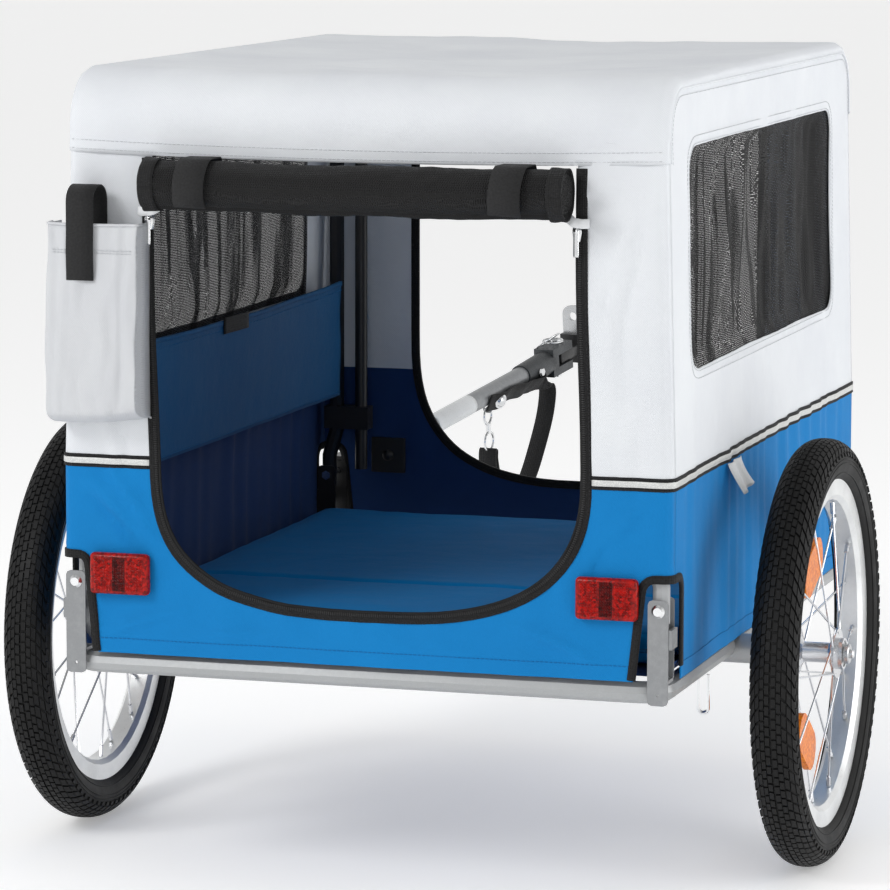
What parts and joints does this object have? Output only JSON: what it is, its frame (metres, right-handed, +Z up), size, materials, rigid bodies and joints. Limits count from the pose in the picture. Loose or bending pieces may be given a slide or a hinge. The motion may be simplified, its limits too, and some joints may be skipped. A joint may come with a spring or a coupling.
{
  "type": "bicycle pet trailer",
  "caption": "Two-wheeled fabric cabin trailer on a tube frame with folding side hoops, roll-up rear door, spoked wheels and a tow arm with hitch.",
  "frame": {"origin": "on the ground, under the middle of the whole trailer's box; the wheel axle is 0.3919 m behind it", "axes": "+Y forwards towards the bicycle, +X to the trailer's right, +Z up"},
  "size_m": [0.7886, 1.4152, 0.7455],
  "materials": {
    "silver_paint": "silver-grey satin paint on tube",
    "bright_zinc": "bright zinc plating",
    "polished_aluminium": "polished rim and spokes",
    "bearing_steel": "ground steel",
    "tyre_rubber": "black block-tread tyre",
    "black_tube": "black powder-coated tube",
    "grey_cast": "dark grey sand-textured casting",
    "black_steel": "black painted steel",
    "light_grey_fabric": "coated woven polyester",
    "blue_fabric": "coated woven polyester",
    "black_mesh": "open warp-knit mesh",
    "black_webbing": "flat woven webbing",
    "red_lens": "prismatic reflector",
    "amber_lens": "prismatic reflector"
  },
  "bodies": {
    "chassis": {"base_frame": "silver_paint", "bracket_rear_left": "silver_paint", "bracket_rear_right": "silver_paint", "bracket_front_left": "black_steel", "bracket_front_right": "black_steel", "pivot_screw_rear_left": "bright_zinc", "pivot_screw_rear_right": "bright_zinc", "pivot_screw_front_left": "bright_zinc", "pivot_screw_front_right": "bright_zinc", "tie_down_loop": "bright_zinc", "floor_tub": "blue_fabric", "floor_mat": "blue_fabric", "rear_wall": "light_grey_fabric", "front_wall": "light_grey_fabric", "roof_cover": "light_grey_fabric", "rear_door_roll": "black_mesh", "storage_pocket": "light_grey_fabric", "rear_reflector_left": "red_lens", "rear_reflector_right": "red_lens", "wheel_axle_left": "bearing_steel", "wheel_axle_right": "bearing_steel", "arm_bracket": "black_steel", "arm_pivot_pin": "bright_zinc", "side_panel_left": "light_grey_fabric", "side_panel_right": "light_grey_fabric", "window_mesh_left": "black_mesh", "window_mesh_right": "black_mesh", "wall_pocket": "blue_fabric"},
    "left_side": {"hoop_left": "black_tube", "front_stay_left": "black_tube"},
    "right_side": {"hoop_right": "black_tube", "front_stay_right": "black_tube"},
    "left_wheel": {"tyre_left": "tyre_rubber", "rim_left": "polished_aluminium", "laced_hub_left": "polished_aluminium", "bearing_inner_left": "bearing_steel", "bearing_outer_left": "bearing_steel", "spoke_reflector_upper_left": "amber_lens", "spoke_reflector_lower_left": "amber_lens"},
    "left_axle_button": {"axle_button_left": "bright_zinc"},
    "left_zip_slider": {"zip_slider_left": "bright_zinc"},
    "right_wheel": {"tyre_right": "tyre_rubber", "rim_right": "polished_aluminium", "laced_hub_right": "polished_aluminium", "bearing_inner_right": "bearing_steel", "bearing_outer_right": "bearing_steel", "spoke_reflector_upper_right": "amber_lens", "spoke_reflector_lower_right": "amber_lens"},
    "right_axle_button": {"axle_button_right": "bright_zinc"},
    "right_zip_slider": {"zip_slider_right": "bright_zinc"},
    "tow_arm": {"tow_arm": "silver_paint", "hitch_socket": "grey_cast", "socket_bolt": "bright_zinc", "safety_strap": "black_webbing"},
    "hitch_pin": {"hitch_pin": "bright_zinc"},
    "coupler": {"hitch_coupler": "black_steel", "axle_eye": "bearing_steel"},
    "snap_hook": {"snap_hook": "bright_zinc"}
  },
  "joints": [
    {"name": "left_side_fold", "type": "hinge", "parent": "chassis", "child": "left_side", "pos_m": [-0.2744, -0.27788, 0.278], "axis": [0, 1, 0], "range_deg": [0, 90], "stiffness_Nm_per_rad": 12},
    {"name": "right_side_fold", "type": "hinge", "parent": "chassis", "child": "right_side", "pos_m": [0.2744, -0.27788, 0.278], "axis": [0, -1, 0], "range_deg": [0, 79.2], "stiffness_Nm_per_rad": 12},
    {"name": "left_wheel_spin", "type": "hinge", "parent": "chassis", "child": "left_wheel", "pos_m": [-0.3592, -0.39188, 0.2], "axis": [1, 0, 0], "continuous": true},
    {"name": "left_axle_button_press", "type": "slide", "parent": "chassis", "child": "left_axle_button", "axis": [1, 0, 0], "range_m": [0, 0.003], "stiffness_N_per_m": 300},
    {"name": "left_zip_slide", "type": "slide", "parent": "chassis", "child": "left_zip_slider", "axis": [0, 0, -1], "range_m": [0, 0.19], "stiffness_N_per_m": 3},
    {"name": "right_wheel_spin", "type": "hinge", "parent": "chassis", "child": "right_wheel", "pos_m": [0.3592, -0.39188, 0.2], "axis": [1, 0, 0], "continuous": true},
    {"name": "right_axle_button_press", "type": "slide", "parent": "chassis", "child": "right_axle_button", "axis": [-1, 0, 0], "range_m": [0, 0.003], "stiffness_N_per_m": 300},
    {"name": "right_zip_slide", "type": "slide", "parent": "chassis", "child": "right_zip_slider", "axis": [0, 0, -1], "range_m": [0, 0.19], "stiffness_N_per_m": 3},
    {"name": "tow_arm_swing", "type": "hinge", "parent": "chassis", "child": "tow_arm", "pos_m": [-0.268, 0.13212, 0.2755], "axis": [0, 0, -1], "range_deg": [0, 80]},
    {"name": "coupler_pivot", "type": "hinge", "parent": "tow_arm", "child": "coupler", "pos_m": [-0.18156, 0.65298, 0.34476], "axis": [-0.0213, -0.1283, 0.9915], "range_deg": [-60, 60]},
    {"name": "hitch_pin_pull", "type": "slide", "parent": "tow_arm", "child": "hitch_pin", "axis": [-0.0213, -0.1283, 0.9915], "range_m": [0, 0.045]},
    {"name": "snap_hook_swing", "type": "hinge", "parent": "tow_arm", "child": "snap_hook", "pos_m": [-0.21249, 0.46657, 0.30132], "axis": [0.9865, -0.1637, 0], "range_deg": [-20, 20]}
  ],
  "couplings": [
    {"joint": "right_side_fold", "follows": "left_side_fold", "ratio": 0.88}
  ]
}
